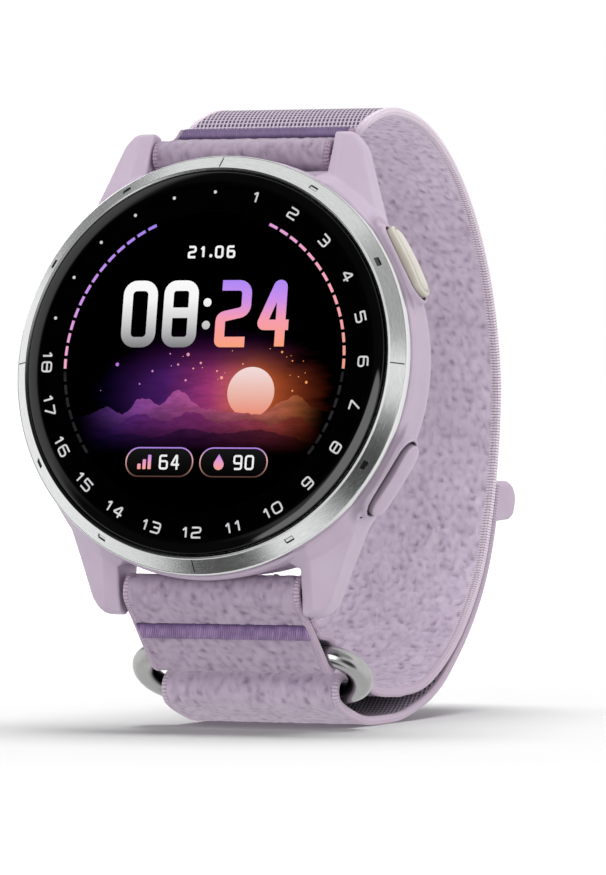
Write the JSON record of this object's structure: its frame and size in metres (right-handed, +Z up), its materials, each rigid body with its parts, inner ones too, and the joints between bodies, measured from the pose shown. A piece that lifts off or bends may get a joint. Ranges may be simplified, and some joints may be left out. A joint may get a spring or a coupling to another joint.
{
  "type": "golf gps watch",
  "caption": "Round golf GPS watch with a touch display, aluminium bezel, side push buttons and a lilac hook-and-loop fabric strap closed through a steel ring.",
  "frame": {"origin": "middle of the part, on the surface it stands on, under the flat bottom of the closed strap", "axes": "+Z up, +X towards 3 o'clock on the dial, -Y is the side the dial looks to (the dial leans back 9.85 degrees)"},
  "size_m": [0.0432, 0.0654, 0.0634],
  "materials": {
    "lilac_polymer": "fine matte moulded polymer",
    "cream_polymer": "satin",
    "bezel_aluminium": "brushed with polished edges",
    "satin_steel": "satin",
    "cover_glass": "polished, black printed border",
    "sensor_glass": "polished",
    "display_black": "smooth",
    "black_polymer": "moulded",
    "seal_rubber": "soft",
    "board_green": "circuit board",
    "cell_foil": "pouch foil",
    "gilt_contact": "gilt",
    "lilac_knit": "pebbly knit inside, open mesh outside",
    "purple_thread": "dense satin stitch",
    "hook_tape": "hook tape",
    "lilac_rubber": "soft matte"
  },
  "bodies": {
    "case": {"case_body": "lilac_polymer", "bezel_ring": "bezel_aluminium", "lens": "cover_glass", "lens_gasket": "seal_rubber", "display_panel": "display_black", "display_frame": "black_polymer", "gps_antenna": "gilt_contact", "main_board": "board_green", "radio_shield": "satin_steel", "vibration_motor": "satin_steel", "battery": "cell_foil", "sensor_board": "board_green", "back_cover": "lilac_polymer", "back_gasket": "seal_rubber", "sensor_window": "sensor_glass", "back_screw_1": "satin_steel", "back_screw_2": "satin_steel", "back_screw_3": "satin_steel", "back_screw_4": "satin_steel", "charging_socket": "black_polymer", "charge_pin_1": "gilt_contact", "charge_pin_2": "gilt_contact", "charge_pin_3": "gilt_contact", "charge_pin_4": "gilt_contact", "start_switch": "black_polymer", "back_switch": "black_polymer", "start_button_spring": "satin_steel", "back_button_spring": "satin_steel", "long_strap": "lilac_knit", "upper_bartack": "purple_thread", "upper_bar_barrel": "satin_steel", "upper_fixed_pin": "satin_steel", "upper_bar_spring": "satin_steel"},
    "start_button": {"start_button": "cream_polymer", "start_button_seal": "seal_rubber", "start_button_clip": "satin_steel"},
    "back_button": {"back_button": "lilac_polymer", "back_button_seal": "seal_rubber", "back_button_clip": "satin_steel"},
    "upper_release_pin": {"upper_release_pin": "satin_steel"},
    "short_strap": {"short_strap": "lilac_knit", "lower_bartack": "purple_thread", "lower_bar_barrel": "satin_steel", "lower_fixed_pin": "satin_steel", "lower_bar_spring": "satin_steel"},
    "lower_release_pin": {"lower_release_pin": "satin_steel"},
    "ring": {"strap_ring": "satin_steel"},
    "strap_tail": {"strap_tail": "lilac_knit", "hook_patch": "hook_tape", "stopper_tab": "lilac_rubber"}
  },
  "joints": [
    {"name": "start_button_press", "type": "slide", "parent": "case", "child": "start_button", "axis": [-0.866, -0.0855, -0.4926], "range_m": [0, 0.0006], "stiffness_N_per_m": 800, "springref_m": -0.0006, "deforming": ["start_button_spring"]},
    {"name": "back_button_press", "type": "slide", "parent": "case", "child": "back_button", "axis": [-0.866, 0.0855, 0.4926], "range_m": [0, 0.0006], "stiffness_N_per_m": 800, "springref_m": -0.0006, "deforming": ["back_button_spring"]},
    {"name": "upper_release_slide", "type": "slide", "parent": "case", "child": "upper_release_pin", "axis": [1, 0, 0], "range_m": [-0.0014, 0], "stiffness_N_per_m": 400, "springref_m": 0.0007, "deforming": ["upper_bar_spring"]},
    {"name": "short_strap_pivot", "type": "hinge", "parent": "case", "child": "short_strap", "pos_m": [0, -0.02657, 0.01407], "axis": [1, 0, 0], "range_deg": [-5, 5]},
    {"name": "lower_release_slide", "type": "slide", "parent": "short_strap", "child": "lower_release_pin", "axis": [1, 0, 0], "range_m": [-0.0014, 0], "stiffness_N_per_m": 400, "springref_m": 0.0007, "deforming": ["lower_bar_spring"]},
    {"name": "ring_swing", "type": "hinge", "parent": "short_strap", "child": "ring", "pos_m": [0, -0.01991, 0.00765], "axis": [1, 0, 0], "range_deg": [-12.2, 12.2]},
    {"name": "tail_peel", "type": "hinge", "parent": "case", "child": "strap_tail", "pos_m": [0, 0.01533, 0.00634], "axis": [-1, 0, 0], "range_deg": [0, 50]}
  ],
  "couplings": [
    {"joint": "ring_swing", "follows": "short_strap_pivot", "ratio": -2.418}
  ]
}
